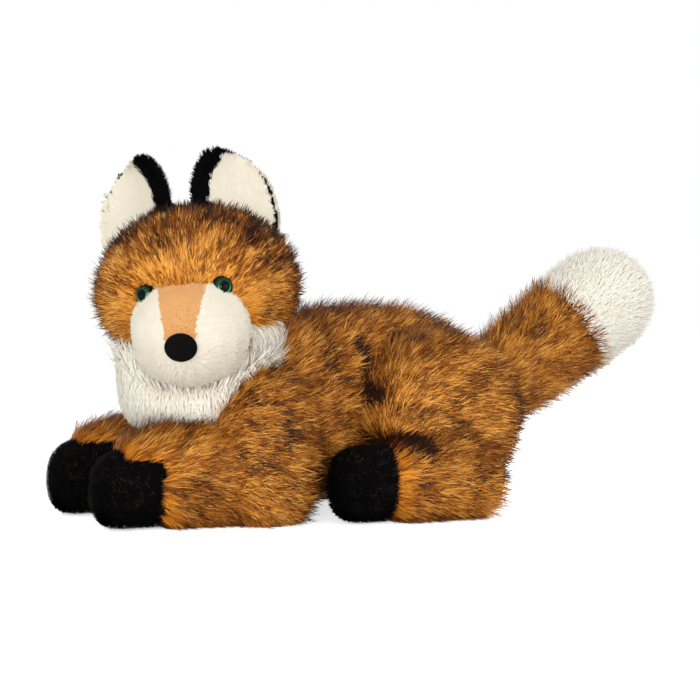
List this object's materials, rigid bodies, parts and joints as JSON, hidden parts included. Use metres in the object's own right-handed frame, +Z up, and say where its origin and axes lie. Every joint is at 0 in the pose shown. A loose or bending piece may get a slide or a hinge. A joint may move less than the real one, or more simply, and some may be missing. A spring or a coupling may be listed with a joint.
{
  "type": "plush fox",
  "caption": "Lying stuffed toy fox with tipped amber fur, white muzzle, ruff and tail tip, black paws and cupped ears.",
  "frame": {"origin": "middle of the toy's length and width, at the height of the surface it lies on", "axes": "+X towards the tail tip, -X where the paws point, -Y the fox's left side, +Z up"},
  "size_m": [0.3902, 0.1843, 0.2198],
  "materials": {
    "amber_fur": "long tipped pile",
    "white_plush": "short dense pile",
    "black_plush": "short dense pile",
    "tan_plush": "short dense pile",
    "fibre_fill": "loose fibre",
    "nose_flock": "flocked",
    "eye_acrylic": "polished",
    "washer_plastic": "as moulded"
  },
  "bodies": {
    "torso": {"torso_skin_left": "amber_fur", "torso_skin_right": "amber_fur", "belly_panel": "white_plush", "chest_panel": "white_plush", "torso_core": "fibre_fill", "neck_ruff": "white_plush"},
    "neck": {"neck_core": "fibre_fill"},
    "head": {"head_skin": "amber_fur", "head_core": "fibre_fill", "muzzle_left": "white_plush", "muzzle_right": "white_plush", "muzzle_bridge": "tan_plush", "nose": "nose_flock", "nose_washer": "washer_plastic", "left_eye": "eye_acrylic", "right_eye": "eye_acrylic", "left_eye_washer": "washer_plastic", "right_eye_washer": "washer_plastic"},
    "left_ear": {"left_ear_front": "white_plush", "left_ear_back": "black_plush"},
    "right_ear": {"right_ear_front": "white_plush", "right_ear_back": "black_plush"},
    "left_foreleg": {"left_foreleg_skin": "amber_fur", "left_front_paw": "black_plush", "left_foreleg_core": "fibre_fill"},
    "right_foreleg": {"right_foreleg_skin": "amber_fur", "right_front_paw": "black_plush", "right_foreleg_core": "fibre_fill"},
    "left_hind_leg": {"left_hind_leg_skin": "amber_fur", "left_hind_paw": "black_plush", "left_hind_leg_core": "fibre_fill"},
    "right_hind_leg": {"right_hind_leg_skin": "amber_fur", "right_hind_paw": "black_plush", "right_hind_leg_core": "fibre_fill"},
    "tail_root": {"tail_root_ball": "fibre_fill"},
    "tail": {"tail_skin": "amber_fur", "tail_tip": "white_plush", "tail_core": "fibre_fill"}
  },
  "joints": [
    {"name": "head_turn", "type": "hinge", "parent": "torso", "child": "neck", "pos_m": [-0.1225, -0.022, 0.137], "axis": [0, 0, 1], "range_deg": [-20, 12], "stiffness_Nm_per_rad": 0.5},
    {"name": "head_nod", "type": "hinge", "parent": "neck", "child": "head", "pos_m": [-0.1225, -0.022, 0.137], "axis": [0.8525, -0.5122, 0.1045], "range_deg": [-8, 6], "stiffness_Nm_per_rad": 0.8},
    {"name": "left_ear_flex", "type": "hinge", "parent": "head", "child": "left_ear", "pos_m": [-0.10401, -0.02844, 0.17471], "axis": [0.8776, -0.1294, -0.4616], "range_deg": [-18, 18], "stiffness_Nm_per_rad": 0.04},
    {"name": "right_ear_flex", "type": "hinge", "parent": "head", "child": "right_ear", "pos_m": [-0.14919, -0.00129, 0.16917], "axis": [0.4286, -0.6555, 0.6217], "range_deg": [-18, 18], "stiffness_Nm_per_rad": 0.04},
    {"name": "left_foreleg_spread", "type": "hinge", "parent": "torso", "child": "left_foreleg", "pos_m": [-0.0945, -0.042, 0], "axis": [0, 0, 1], "range_deg": [0, 25], "stiffness_Nm_per_rad": 0.4},
    {"name": "right_foreleg_spread", "type": "hinge", "parent": "torso", "child": "right_foreleg", "pos_m": [-0.0945, 0.042, 0], "axis": [0, 0, -1], "range_deg": [0, 25], "stiffness_Nm_per_rad": 0.4},
    {"name": "left_hind_leg_swing", "type": "hinge", "parent": "torso", "child": "left_hind_leg", "pos_m": [0.0215, -0.032, 0.06], "axis": [0, 1, 0], "range_deg": [-8, 12], "stiffness_Nm_per_rad": 0.5},
    {"name": "right_hind_leg_swing", "type": "hinge", "parent": "torso", "child": "right_hind_leg", "pos_m": [0.0215, 0.032, 0.06], "axis": [0, 1, 0], "range_deg": [-8, 12], "stiffness_Nm_per_rad": 0.5},
    {"name": "tail_wag", "type": "hinge", "parent": "torso", "child": "tail_root", "pos_m": [0.0685, 0, 0.062], "axis": [0, 0, 1], "range_deg": [-20, 20], "stiffness_Nm_per_rad": 0.4},
    {"name": "tail_lift", "type": "hinge", "parent": "tail_root", "child": "tail", "pos_m": [0.0685, 0, 0.062], "axis": [0, -1, 0], "range_deg": [-15, 15], "stiffness_Nm_per_rad": 0.9}
  ]
}
